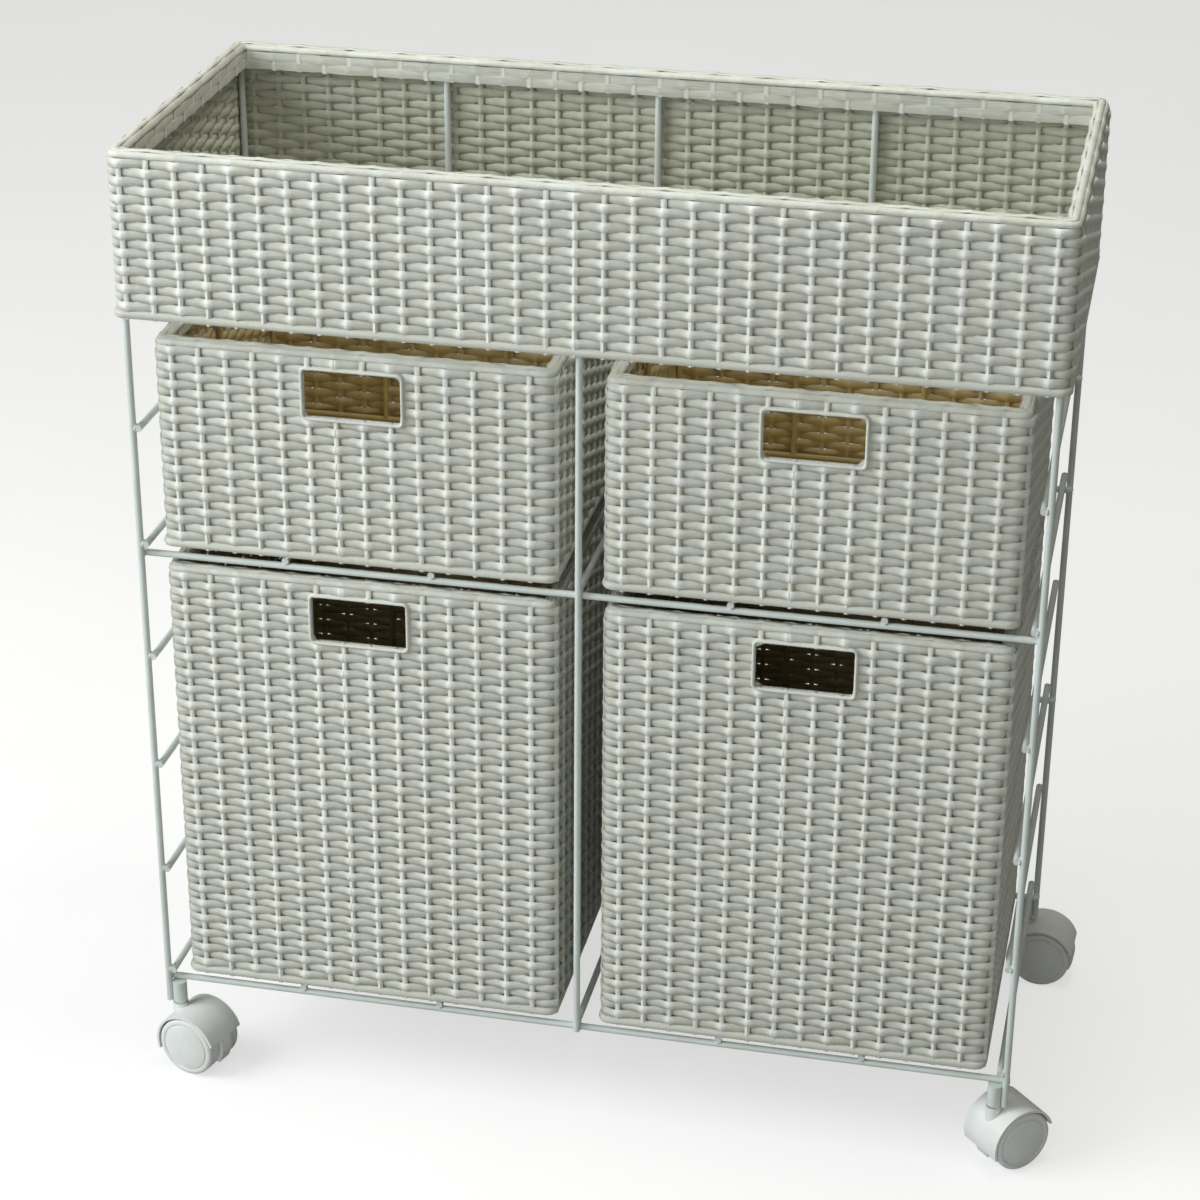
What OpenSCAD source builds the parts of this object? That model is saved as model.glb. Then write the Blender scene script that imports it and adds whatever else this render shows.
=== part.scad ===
// Laundry sorter on wheels: a welded wire cart with a woven tray on top,
// four woven drawers under it and four swivelling twin-wheel casters.
// Front faces -Y, +Z is up, the origin is on the floor under the middle of the cart.

/* [Frame] */
// Width between the centres of the corner posts
post_span_w = 650; // [500:1:900]
// Depth between the centres of the corner posts
post_span_d = 272; // [240:1:400]
// Diameter of the frame wire
wire_d = 5; // [4:0.5:6]
// Height of the lower rails' centre above the floor
rail_z = 73; // [72:1:90]
// Height from one side rung to the next
rung_pitch = 91; // [80:1:110]
// Height of the lowest rung above the lower rail
rung_lift = 9; // [8:0.5:12]
// How deep two crossing wires are melted together where they are welded
weld_bite = 0.2; // [0.1:0.05:0.3]

/* [Tray] */
// Height from the tray's base rails to its rim wire
tray_h = 115; // [90:1:160]
// Number of wires in the tray floor, the two end ones included
tray_floor_n = 13; // [9:1:17]
// Depth of the hem that is folded over the rim
tray_hem = 20; // [12:1:40]
// Thickness of the inside layer of the tray's hem
hem_t = 3.5; // [2:0.5:4]

/* [Weave] */
// Thickness of the woven walls
weave_t = 5.4; // [4:0.2:7]
// Radius of the woven corners, measured outside
weave_r = 9; // [8:1:10]

/* [Drawers] */
// Width of a drawer outside
drawer_w = 294; // [220:1:296]
// Depth of a drawer outside
drawer_d = 260; // [180:1:261]
// Height of the upper drawers
upper_h = 162; // [120:1:164]
// Height of the lower drawers
lower_h = 350; // [200:1:351]
// Depth of the hem on a drawer's rim
drawer_hem = 12; // [10:1:14]
// Thickness of the inside layer of a drawer's hem
drawer_hem_t = 3; // [2:0.5:3.5]
// Diameter of the wire inside a drawer
drawer_wire_d = 4; // [3:0.5:5]
// Width of the hand hole
hole_w = 70; // [50:1:90]
// Height of the hand hole
hole_h = 35; // [25:1:45]
// Distance from a drawer's top edge to its hand hole
hole_drop = 15; // [14.5:0.5:25]
// Thickness of a drawer's woven floor
floor_t = 5; // [3:0.5:6]

/* [Casters] */
// Wheel diameter
wheel_d = 48; // [44:1:50]
// Width over both wheels of a caster
caster_w = 38; // [34:1:44]
// Distance from the swivel axis back to the axle
trail = 16; // [12:1:18]
// Directions in which the casters trail: front left, front right, rear right, rear left
trail_angles = [-17, 43, -3, 160];

/* [Hidden] */
$fn = 48;
CORNERS = ["front_left", "front_right", "rear_right", "rear_left"];

wire_white = "#dfe3e0";
weave_white = "#cfd0c6";
caster_white = "#eceeee";
zinc = "#b9bcbf";

// frame levels and planes
wire_r = wire_d / 2;
lap = wire_d - weld_bite;
post_x = post_span_w / 2;
post_y = post_span_d / 2;
rail_y = post_y - lap;
rung_x = post_x - lap;
mid_z = rail_z + 4 * rung_pitch;
tray_z = rail_z + 6 * rung_pitch + wire_d;
rim_z = tray_z + tray_h;
rung_n = 6;
rim_bend = 6;
// how far a corner post runs up into the bend of the rim wire
post_bite = 1;
// the drawers run between the side rungs and the centre posts
bay_x = post_x / 2;
shelf_x = [for (i = [-2:2]) i * post_x / 3];
// small gap that keeps neighbouring pieces apart
skin_gap = 0.1;

// tray weave
tray_in_x = post_x + wire_r + skin_gap;
tray_in_y = post_y + wire_r + skin_gap;
tray_foot_z = tray_z - wire_r - skin_gap;
fold_t = 2.4;
tray_top_z = rim_z + wire_r + skin_gap + fold_t;

// drawers
slide_gap = 0.4;
drawer_y = -post_y + drawer_d / 2;
shelf_top = lap + wire_r;
lower_z = rail_z + shelf_top + slide_gap;
upper_z = mid_z + shelf_top + slide_gap;
dw_r = drawer_wire_d / 2;
drawer_in_x = drawer_w / 2 - weave_t;
drawer_in_y = drawer_d / 2 - weave_t;
// inside corners of a drawer, round the wire that stands in them
drawer_in_r = dw_r + skin_gap;
wire_in_x = drawer_in_x - drawer_in_r;
wire_in_y = drawer_in_y - drawer_in_r;
// the two uprights in the front and the back stand at a third of the width
upright_x = drawer_w / 6;

// casters
wheel_r = wheel_d / 2;
hood_gap = 1.2;
hood_wall = 1.8;
hood_r = wheel_r + hood_gap + hood_wall;
web_w = 11.8;
wheel_side = 0.4;
collar_top = wheel_r + hood_r + 0.6;
flange_t = 1.2;
stem_gap = 0.4;
socket_foot = collar_top + stem_gap + flange_t;
post_foot = socket_foot;
socket_r = 5.5;
socket_bite = weld_bite / 4;
socket_h = rail_z - wire_r + socket_bite - socket_foot;
stem_r = 4;
// the stem ends this far under the top of its socket, with a little room over it
stem_drop = 1.35;
stem_room = 0.5;
stem_up = socket_h - stem_drop;
spindle_r = 3.5;
spindle_foot = wheel_r + 11;
spindle_room = 1;
axle_r = 3;
axle_w = caster_w - 3;
running_gap = 0.05;
socket_x = post_x - wire_r - socket_r + weld_bite;
socket_y = post_y - 1.5;

function side_x(c) = c == 0 || c == 3 ? -1 : 1;
function side_y(c) = c < 2 ? -1 : 1;

// ---------- wires ----------

// A round wire that runs len from a point along one axis: dir is 0 for X, 1 for Y, 2 for Z
module wire(from, len, dir, d = wire_d) {
    translate(from)
        rotate(dir == 0 ? [0, 90, 0] : dir == 1 ? [-90, 0, 0] : [0, 0, 0])
            cylinder(d = d, h = len);
}

module corner_post(c) {
    color(wire_white)
        wire([side_x(c) * post_x, side_y(c) * post_y, post_foot], rim_z - wire_r + post_bite - post_foot, 2);
}

module centre_post(side) {
    foot = rail_z - wire_r / 2;
    color(wire_white)
        wire([0, side * post_y, foot], rim_z - wire_r + weld_bite - foot, 2);
}

module long_rail(side, z) {
    color(wire_white)
        wire([-post_x - wire_r, side * rail_y, z], post_span_w + wire_d, 0);
}

module shelf_wires(z) {
    half = rail_y + wire_r;
    color(wire_white)
        for (x = shelf_x) wire([x, -half, z + lap], 2 * half, 1);
}

module rungs(side) {
    half = post_y + wire_r;
    color(wire_white)
        for (k = [0 : rung_n - 1])
            wire([side * rung_x, -half, rail_z + rung_lift + k * rung_pitch], 2 * half, 1);
}

// ---------- tray ----------

module tray_floor_wires() {
    half = rail_y + wire_r;
    step = 2 * rung_x / (tray_floor_n - 1);
    color(wire_white)
        for (i = [0 : tray_floor_n - 1])
            wire([-rung_x + i * step, -half, tray_z + lap], 2 * half, 1);
}

module tray_uprights() {
    foot = tray_z - wire_r;
    color(wire_white)
        for (x = [-bay_x, bay_x], side = [-1, 1])
            wire([x, side * post_y, foot], rim_z - wire_r + weld_bite - foot, 2);
}

// A ring of wire bent to a rectangle with round corners
module wire_ring(half_x, half_y, bend, d) {
    for (sx = [-1, 1]) {
        translate([sx * half_x, 0, 0])
            rotate([90, 0, 0])
                cylinder(d = d, h = 2 * (half_y - bend), center = true);
        for (sy = [-1, 1])
            translate([sx * (half_x - bend), sy * (half_y - bend), 0])
                rotate([0, 0, sx > 0 ? (sy > 0 ? 0 : 270) : (sy > 0 ? 90 : 180)])
                    rotate_extrude(angle = 90)
                        translate([bend, 0])
                            circle(d = d);
    }
    for (sy = [-1, 1])
        translate([0, sy * half_y, 0])
            rotate([0, 90, 0])
                cylinder(d = d, h = 2 * (half_x - bend), center = true);
}

module tray_rim_wire() {
    color(wire_white)
        translate([0, 0, rim_z])
            wire_ring(post_x, post_y, rim_bend, wire_d);
}

// A rectangle with round corners, given by its half sizes
module round_rect(half_x, half_y, r) {
    square([2 * half_x, 2 * (half_y - r)], center = true);
    square([2 * (half_x - r), 2 * half_y], center = true);
    for (sx = [-1, 1], sy = [-1, 1])
        translate([sx * (half_x - r), sy * (half_y - r)])
            circle(r = r);
}

// A band of weave round a rectangle, folded over a rim wire of diameter d at its top
module folded_band(in_x, in_y, foot_z, top_z, hem, hem_wall, d) {
    slot = d + 2 * skin_gap;
    in_r = slot / 2;
    difference() {
        translate([0, 0, foot_z])
            linear_extrude(top_z - foot_z)
                round_rect(in_x + weave_t, in_y + weave_t, weave_r);
        translate([0, 0, foot_z - 1])
            linear_extrude(top_z - hem - foot_z + 1)
                round_rect(in_x, in_y, in_r);
        // the slot that the rim wire lies in
        difference() {
            translate([0, 0, top_z - hem - 1])
                linear_extrude(hem + 1 - fold_t)
                    round_rect(in_x, in_y, in_r);
            translate([0, 0, top_z - hem - 2])
                linear_extrude(hem + 3)
                    round_rect(in_x - slot, in_y - slot, in_r);
        }
        translate([0, 0, top_z - hem - 2])
            linear_extrude(hem + 3)
                round_rect(in_x - slot - hem_wall, in_y - slot - hem_wall, in_r);
    }
}

module tray_weave() {
    color(weave_white)
        folded_band(tray_in_x, tray_in_y, tray_foot_z, tray_top_z, tray_hem, hem_t, wire_d);
}

// ---------- drawers ----------

module at_drawer(side, z) {
    translate([side * bay_x, drawer_y, z]) children();
}

module drawer_weave(side, z, h) {
    color(weave_white)
        at_drawer(side, z)
            difference() {
                folded_band(drawer_in_x, drawer_in_y, 0, h, drawer_hem, drawer_hem_t, drawer_wire_d);
                translate([-hole_w / 2, -drawer_d / 2 - 1, h - hole_drop - hole_h])
                    cube([hole_w, weave_t + 2, hole_h]);
            }
}

module drawer_floor(side, z) {
    color(weave_white)
        at_drawer(side, z)
            linear_extrude(floor_t)
                round_rect(drawer_in_x, drawer_in_y, drawer_in_r);
}

// The wires that hold a drawer's shape: a rim, a base, and uprights inside the weave
module drawer_wires(side, z, h) {
    rim = h - fold_t - skin_gap - dw_r;
    base = floor_t + skin_gap + dw_r;
    tie = drawer_wire_d + skin_gap;
    long_half = wire_in_x;
    short_half = wire_in_y - tie;
    post_from = base + tie / 2;
    post_len = rim - base - tie;
    color(wire_white)
        at_drawer(side, z) {
            for (lz = [base, rim], sy = [-1, 1])
                wire([-long_half, sy * wire_in_y, lz], 2 * long_half, 0, drawer_wire_d);
            for (lz = [base, rim], sx = [-1, 1])
                wire([sx * wire_in_x, -short_half + dw_r, lz], 2 * (short_half - dw_r), 1, drawer_wire_d);
            for (sx = [-1, 1], sy = [-1, 1])
                wire([sx * upright_x, sy * wire_in_y, post_from], post_len, 2, drawer_wire_d);
            for (sx = [-1, 1], y = [-wire_in_y, 0, wire_in_y])
                wire([sx * wire_in_x, y, post_from], post_len, 2, drawer_wire_d);
        }
}

// ---------- casters ----------

module caster_socket(c) {
    color(wire_white)
        translate([side_x(c) * socket_x, side_y(c) * socket_y, socket_foot])
            difference() {
                cylinder(r = socket_r, h = socket_h);
                translate([0, 0, -1])
                    cylinder(r = stem_r, h = 1 + stem_up + stem_room);
            }
}

// Places a caster's piece: swivel axis on Z, trailing along +X, axle along Y
module at_caster(c) {
    translate([side_x(c) * socket_x, side_y(c) * socket_y, 0])
        rotate([0, 0, trail_angles[c]])
            children();
}

module caster_stem(c) {
    color(zinc)
        at_caster(c) {
            translate([0, 0, socket_foot]) cylinder(r = stem_r, h = stem_up);
            translate([0, 0, collar_top + stem_gap]) cylinder(r = socket_r, h = flange_t);
            translate([0, 0, spindle_foot]) cylinder(r = spindle_r, h = collar_top + stem_gap - spindle_foot);
        }
}

// A cylinder round the axle, width w
module round_axle(r, w) {
    translate([trail, 0, wheel_r])
        rotate([90, 0, 0])
            cylinder(r = r, h = w, center = true);
}

module caster_hood(c) {
    brow = 8;
    color(caster_white)
        at_caster(c)
            difference() {
                union() {
                    // shell over the tops and the leading side of both wheels
                    difference() {
                        round_axle(hood_r, caster_w);
                        round_axle(wheel_r + hood_gap, caster_w + 2);
                        translate([trail - 2 * hood_r, -caster_w, -hood_r])
                            cube([2 * hood_r, 2 * caster_w, hood_r + wheel_r - brow]);
                        translate([trail, -caster_w, -hood_r])
                            cube([2 * hood_r, 2 * caster_w, hood_r + wheel_r + brow]);
                    }
                    // centre plate between the wheels, with the boss for the stem
                    intersection() {
                        round_axle(hood_r - 0.5, web_w);
                        translate([trail - 2 * hood_r, -caster_w, wheel_r - hood_r / 2])
                            cube([4 * hood_r, 2 * caster_w, 2 * hood_r]);
                    }
                    translate([0, 0, wheel_r]) cylinder(d = web_w, h = collar_top - wheel_r);
                }
                translate([0, 0, spindle_foot - spindle_room])
                    cylinder(r = spindle_r + running_gap, h = 2 * hood_r);
                round_axle(axle_r, caster_w);
            }
}

module caster_axle(c) {
    color(zinc)
        at_caster(c)
            round_axle(axle_r, axle_w);
}

// side is -1 for the wheel on the caster's -Y side and 1 for the other one
module caster_wheel(c, side) {
    from = web_w / 2 + wheel_side;
    width = caster_w / 2 - from;
    edge = 3;
    color(caster_white)
        at_caster(c)
            translate([trail, side * from, wheel_r])
                rotate([side > 0 ? -90 : 90, 0, 0])
                    difference() {
                        union() {
                            cylinder(r = wheel_r, h = width - edge);
                            rotate_extrude()
                                translate([0, width - edge])
                                    intersection() {
                                        union() {
                                            square([wheel_r - edge, edge]);
                                            translate([wheel_r - edge, 0]) circle(r = edge);
                                        }
                                        square([wheel_r, edge]);
                                    }
                        }
                        translate([0, 0, -1]) cylinder(r = axle_r + running_gap, h = width);
                    }
}

// ---------- the pieces ----------

corner_post(0);  // front_left_post
corner_post(1);  // front_right_post
corner_post(2);  // rear_right_post
corner_post(3);  // rear_left_post
centre_post(-1);  // front_centre_post
centre_post(1);  // rear_centre_post
long_rail(-1, rail_z);  // lower_front_rail
long_rail(-1, mid_z);  // middle_front_rail
long_rail(1, rail_z);  // lower_rear_rail
long_rail(1, mid_z);  // middle_rear_rail
shelf_wires(rail_z);  // lower_shelf_wires
shelf_wires(mid_z);  // middle_shelf_wires
rungs(-1);  // left_rungs
rungs(1);  // right_rungs
long_rail(1, rail_z + 2 * rung_pitch);  // lower_back_stop
long_rail(1, rail_z + 5 * rung_pitch);  // upper_back_stop
long_rail(-1, tray_z);  // tray_front_rail
long_rail(1, tray_z);  // tray_rear_rail
tray_floor_wires();
tray_uprights();
tray_rim_wire();
tray_weave();
drawer_weave(-1, upper_z, upper_h);  // upper_left_weave
drawer_floor(-1, upper_z);  // upper_left_floor
drawer_wires(-1, upper_z, upper_h);  // upper_left_wires
drawer_weave(1, upper_z, upper_h);  // upper_right_weave
drawer_floor(1, upper_z);  // upper_right_floor
drawer_wires(1, upper_z, upper_h);  // upper_right_wires
drawer_weave(-1, lower_z, lower_h);  // lower_left_weave
drawer_floor(-1, lower_z);  // lower_left_floor
drawer_wires(-1, lower_z, lower_h);  // lower_left_wires
drawer_weave(1, lower_z, lower_h);  // lower_right_weave
drawer_floor(1, lower_z);  // lower_right_floor
drawer_wires(1, lower_z, lower_h);  // lower_right_wires
for (c = [0:3]) {
    caster_socket(c);
    caster_stem(c);
    caster_hood(c);
    caster_axle(c);
    caster_wheel(c, -1);
    caster_wheel(c, 1);
}
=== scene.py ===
"""Laundry sorter on wheels: the weave, the welds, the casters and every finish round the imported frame.

All sizes are in metres and in the frame's own axes: the front faces -Y, +Z is up, and the origin is on the
floor under the middle of the cart.
"""
import logging
import math
from collections.abc import Callable, Iterable
from dataclasses import dataclass
from enum import Enum

import bpy
import numpy as np
from mathutils import Matrix, Vector


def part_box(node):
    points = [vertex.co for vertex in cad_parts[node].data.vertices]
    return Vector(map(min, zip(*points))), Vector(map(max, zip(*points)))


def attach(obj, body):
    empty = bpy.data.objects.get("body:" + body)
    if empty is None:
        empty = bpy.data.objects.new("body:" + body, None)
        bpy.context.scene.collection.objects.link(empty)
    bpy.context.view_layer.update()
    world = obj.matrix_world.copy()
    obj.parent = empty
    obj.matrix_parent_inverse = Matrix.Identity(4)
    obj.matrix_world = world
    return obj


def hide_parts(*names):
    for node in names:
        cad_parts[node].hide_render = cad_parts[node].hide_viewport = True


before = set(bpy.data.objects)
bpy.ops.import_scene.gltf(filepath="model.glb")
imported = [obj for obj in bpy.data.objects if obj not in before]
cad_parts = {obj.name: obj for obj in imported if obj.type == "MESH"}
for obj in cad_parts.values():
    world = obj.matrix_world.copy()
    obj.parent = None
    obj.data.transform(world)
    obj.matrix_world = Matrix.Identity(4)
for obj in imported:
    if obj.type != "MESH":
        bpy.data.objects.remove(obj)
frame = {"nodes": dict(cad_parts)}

MM = 0.001
# a point nearer than this to a place is taken to be at it
CLOSE = 0.1 * MM
# in degrees: shading stays smooth up to this angle, so that the rim of a cord's cut end is sharp
CUT_END = 60
Point = tuple[float, float, float]
Colour = tuple[float, float, float]
Socket = bpy.types.NodeSocket
LOG = logging.getLogger("sorter")


# ---------- named choices ----------


class Select(Enum):
    """What kind of mesh element a selection is made of."""

    POINTS = (True, False, False)
    EDGES = (False, True, False)
    FACES = (False, False, True)


class Way(Enum):
    """An axis, or each point's own normal."""

    X = "X"
    Y = "Y"
    Z = "Z"
    NORMAL = "NORMAL"


class Slot(Enum):
    """The record's material slots, by name."""

    FRAME = "frame_wire"
    TRAY = "tray_weave"
    DRAWER = "drawer_weave"
    CASTER = "caster_plastic"


class Drawer(Enum):
    """The four drawers, by name."""

    UPPER_LEFT = "upper_left"
    UPPER_RIGHT = "upper_right"
    LOWER_LEFT = "lower_left"
    LOWER_RIGHT = "lower_right"


class Corner(Enum):
    """The four corners: each one's name, and on which side of the middle it stands in X and in Y."""

    FRONT_LEFT = ("front_left", -1, -1)
    FRONT_RIGHT = ("front_right", 1, -1)
    REAR_RIGHT = ("rear_right", 1, 1)
    REAR_LEFT = ("rear_left", -1, 1)


# ---------- shaping ----------


@dataclass(frozen=True)
class Sway:
    """A small unevenness: which way the mesh strays, how far in all, and how long its waves are."""

    way: Way
    reach: float
    size: float


def clear_selection() -> None:
    """Leave edit mode and select nothing."""
    if bpy.context.object is not None and bpy.context.object.mode != "OBJECT":
        bpy.ops.object.mode_set(mode="OBJECT")
    bpy.ops.object.select_all(action="DESELECT")


class Piece:
    """One mesh that is shaped with Blender's operators and then set on a body of the cart."""

    # points of two copies, and of a seam or an end, that are nearer than these are joined
    step_gap = 0.01 * MM
    seam_gap = 0.02 * MM
    # the share of a strand's thickness over which its "back" mark goes from 0 to 1
    back_depth = 0.6

    def __init__(self, name: str) -> None:
        """Take over the object that an operator has just added.

        Args:
            name: The piece's name.
        """
        self.thing: bpy.types.Object = bpy.context.object
        self.thing.name = name
        self.thing.data.name = name

    @classmethod
    def strand(cls, name: str, length: float, width: float, thick: float, sides: int, cuts: int) -> "Piece":
        """Make a flat oval strand from the origin along +X, wide in Z and thin in Y, with open ends.

        Args:
            name: The piece's name.
            length: How long the strand is.
            width: Its width, along Z.
            thick: Its thickness, along Y.
            sides: How many faces go round it.
            cuts: How many rings are cut between its ends.

        Returns:
            The strand, with a "back" mark that is 1 on its -Y side.
        """
        clear_selection()
        bpy.ops.mesh.primitive_cylinder_add(
            vertices=sides, radius=0.5, depth=length, end_fill_type="NOTHING",
            location=(length / 2, 0, 0), rotation=(0, math.pi / 2, 0),
        )
        piece = cls(name).settle()
        piece.edit(Select.POINTS, lambda co: True)
        bpy.ops.transform.resize(value=(1, thick, width), center_override=(0, 0, 0))
        piece.close()
        if cuts:
            piece.edit_edges(lambda a, b: abs(a.x - b.x) > length / 2)
            bpy.ops.mesh.subdivide(number_cuts=cuts)
            piece.close()
        return piece.mark("back", lambda co: min(1.0, max(0.0, 0.5 - co.y / (cls.back_depth * thick))))

    def pick(self) -> None:
        """Make this the only selected object, and the active one."""
        clear_selection()
        self.thing.select_set(True)
        bpy.context.view_layer.objects.active = self.thing

    def _open(self, kind: Select) -> None:
        """Go into edit mode with the flags that were set on the mesh."""
        bpy.context.tool_settings.mesh_select_mode = kind.value
        bpy.ops.object.mode_set(mode="EDIT")

    def close(self) -> "Piece":
        """Leave edit mode."""
        bpy.ops.object.mode_set(mode="OBJECT")
        return self

    def _none(self) -> None:
        """Clear every selection flag of the mesh."""
        self.pick()
        for group in (self.thing.data.vertices, self.thing.data.edges, self.thing.data.polygons):
            group.foreach_set("select", np.zeros(len(group), dtype=bool))

    def edit(self, kind: Select, test: Callable[[Vector], bool]) -> None:
        """Go into edit mode with the points or faces selected whose place passes a test.

        Args:
            kind: Points or faces.
            test: Says of a point's place, or a face's middle, whether it is wanted.
        """
        self._none()
        if kind is Select.POINTS:
            for vertex in self.thing.data.vertices:
                vertex.select = test(vertex.co)
        else:
            for face in self.thing.data.polygons:
                face.select = test(face.center)
        self._open(kind)

    def edit_edges(self, test: Callable[[Vector, Vector], bool]) -> None:
        """Go into edit mode with the edges selected whose two ends pass a test.

        Args:
            test: Says of the places of an edge's ends whether it is wanted.
        """
        self._none()
        points = self.thing.data.vertices
        for edge in self.thing.data.edges:
            edge.select = test(points[edge.vertices[0]].co, points[edge.vertices[1]].co)
        self._open(Select.EDGES)

    def edit_box(self, low: Point, high: Point) -> None:
        """Go into edit mode with the faces selected whose middle lies in a box.

        Args:
            low: The box's lowest corner.
            high: The box's highest corner.
        """
        self._none()
        faces = self.thing.data.polygons
        middles = np.empty(3 * len(faces))
        faces.foreach_get("center", middles)
        middles = middles.reshape(-1, 3)
        faces.foreach_set("select", ((middles > low) & (middles < high)).all(axis=1))
        self._open(Select.FACES)

    def edit_all(self) -> None:
        """Go into edit mode with everything selected."""
        self.pick()
        self._open(Select.POINTS)
        bpy.ops.mesh.select_all(action="SELECT")

    def mark(self, name: str, value: Callable[[Vector], float]) -> "Piece":
        """Store a number at each point.

        Args:
            name: The mark's name, by which a finish reads it.
            value: Works the number out from the point's place.

        Returns:
            The piece itself.
        """
        self.pick()
        mesh = self.thing.data
        store = mesh.attributes.new(name, "FLOAT", "POINT")
        store.data.foreach_set("value", [value(vertex.co) for vertex in mesh.vertices])
        return self

    def settle(self) -> "Piece":
        """Put the object's place, turn and scale into its mesh.

        Returns:
            The piece itself.
        """
        self.pick()
        bpy.ops.object.transform_apply(location=True, rotation=True, scale=True)
        return self

    def place(self, move: Point = (0, 0, 0), turn: Point = (0, 0, 0)) -> "Piece":
        """Turn the piece about the origin, then move it.

        Args:
            move: How far it moves.
            turn: How many degrees it turns about X, Y and Z.

        Returns:
            The piece itself.
        """
        self.thing.rotation_euler = [math.radians(a) for a in turn]
        self.thing.location = move
        return self.settle()

    def apply(self, modifier: bpy.types.Modifier) -> "Piece":
        """Make a modifier's result the mesh.

        Args:
            modifier: The modifier, which is used up.

        Returns:
            The piece itself.
        """
        self.pick()
        bpy.ops.object.modifier_apply(modifier=modifier.name)
        return self

    def repeat(self, step: Point, count: int, joined: bool = False) -> "Piece":
        """Lay copies of the mesh one step apart.

        Args:
            step: The way from one copy to the next.
            count: How many there are in all.
            joined: Whether each copy's end is joined to the next one's start.

        Returns:
            The piece itself.
        """
        array = self.thing.modifiers.new("repeat", "ARRAY")
        array.count = count
        array.use_relative_offset = False
        array.use_constant_offset = True
        array.constant_offset_displace = step
        array.use_merge_vertices = joined
        array.merge_threshold = self.step_gap
        return self.apply(array)

    def bend_round(self, guide: bpy.types.Object) -> "Piece":
        """Bend the mesh's X axis along a guide curve, and join the seam.

        Args:
            guide: The curve.

        Returns:
            The piece itself.
        """
        bend = self.thing.modifiers.new("bend", "CURVE")
        bend.object = guide
        bend.deform_axis = "POS_X"
        self.apply(bend)
        return self.heal()

    def heal(self) -> "Piece":
        """Join doubled points and turn all faces outwards.

        Returns:
            The piece itself.
        """
        self.edit_all()
        bpy.ops.mesh.remove_doubles(threshold=self.seam_gap)
        bpy.ops.mesh.normals_make_consistent(inside=False)
        return self.close()

    def cap(self) -> "Piece":
        """Close every open end.

        Returns:
            The piece itself.
        """
        self.edit_all()
        bpy.ops.mesh.fill_holes(sides=0)
        bpy.ops.mesh.normals_make_consistent(inside=False)
        return self.close()

    def trim(self, place: Point, outwards: Point) -> "Piece":
        """Cut off what lies past a plane, and close the cut.

        Args:
            place: A point of the plane.
            outwards: The plane's normal, towards what is cut off.

        Returns:
            The piece itself.
        """
        self.edit_all()
        bpy.ops.mesh.bisect(plane_co=place, plane_no=outwards, use_fill=True, clear_outer=True)
        return self.close()

    def wander(self, *sways: Sway) -> "Piece":
        """Move the mesh a little to and fro, so that nothing runs dead straight.

        Args:
            *sways: The unevennesses, one after the other.

        Returns:
            The piece itself.
        """
        for sway in sways:
            cloud = bpy.data.textures.new("wander", "CLOUDS")
            cloud.noise_scale = sway.size
            cloud.noise_depth = 1
            shift = self.thing.modifiers.new("wander", "DISPLACE")
            shift.texture = cloud
            shift.texture_coords = "LOCAL"
            shift.direction = sway.way.value
            shift.strength = sway.reach
            shift.mid_level = 0.5
            self.apply(shift)
        return self

    def join(self, others: Iterable["Piece"]) -> "Piece":
        """Take other pieces into this one's mesh.

        Args:
            others: The pieces that are taken in.

        Returns:
            The piece itself.
        """
        self.pick()
        for other in others:
            other.thing.select_set(True)
        bpy.context.view_layer.objects.active = self.thing
        bpy.ops.object.join()
        return self

    def copy(self, name: str) -> "Piece":
        """Make a copy with a mesh of its own.

        Args:
            name: The copy's name.

        Returns:
            The copy.
        """
        self.pick()
        bpy.ops.object.duplicate(linked=False)
        return Piece(name)

    def smooth(self, degrees: float = 180) -> "Piece":
        """Shade the piece smooth.

        Args:
            degrees: Edges that turn by more than this stay sharp.

        Returns:
            The piece itself.
        """
        self.pick()
        bpy.ops.object.shade_smooth_by_angle(angle=math.radians(degrees))
        return self

    def fit(self, body: str, slot: Slot, finish: bpy.types.Material, *nodes: str) -> "Piece":
        """Set the piece on a body, give it its finish and hide the plain solids that it stands for.

        Args:
            body: The body that it moves with.
            slot: The record's material slot; not used.
            finish: The material.
            *nodes: The plain solids that it stands for, if any.

        Returns:
            The piece itself.
        """
        self.thing.data.materials.clear()
        self.thing.data.materials.append(finish)
        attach(self.thing, body)
        if nodes:
            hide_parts(*nodes)
        LOG.info("%s: %d faces on %s", self.thing.name, len(self.thing.data.polygons), body)
        return self


# ---------- finishes ----------


@dataclass(frozen=True)
class Cloud:
    """A cloud noise: its scale and detail, and the two levels of it that are stretched to 0 and 1."""

    scale: float
    detail: float
    low: float
    high: float


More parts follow.
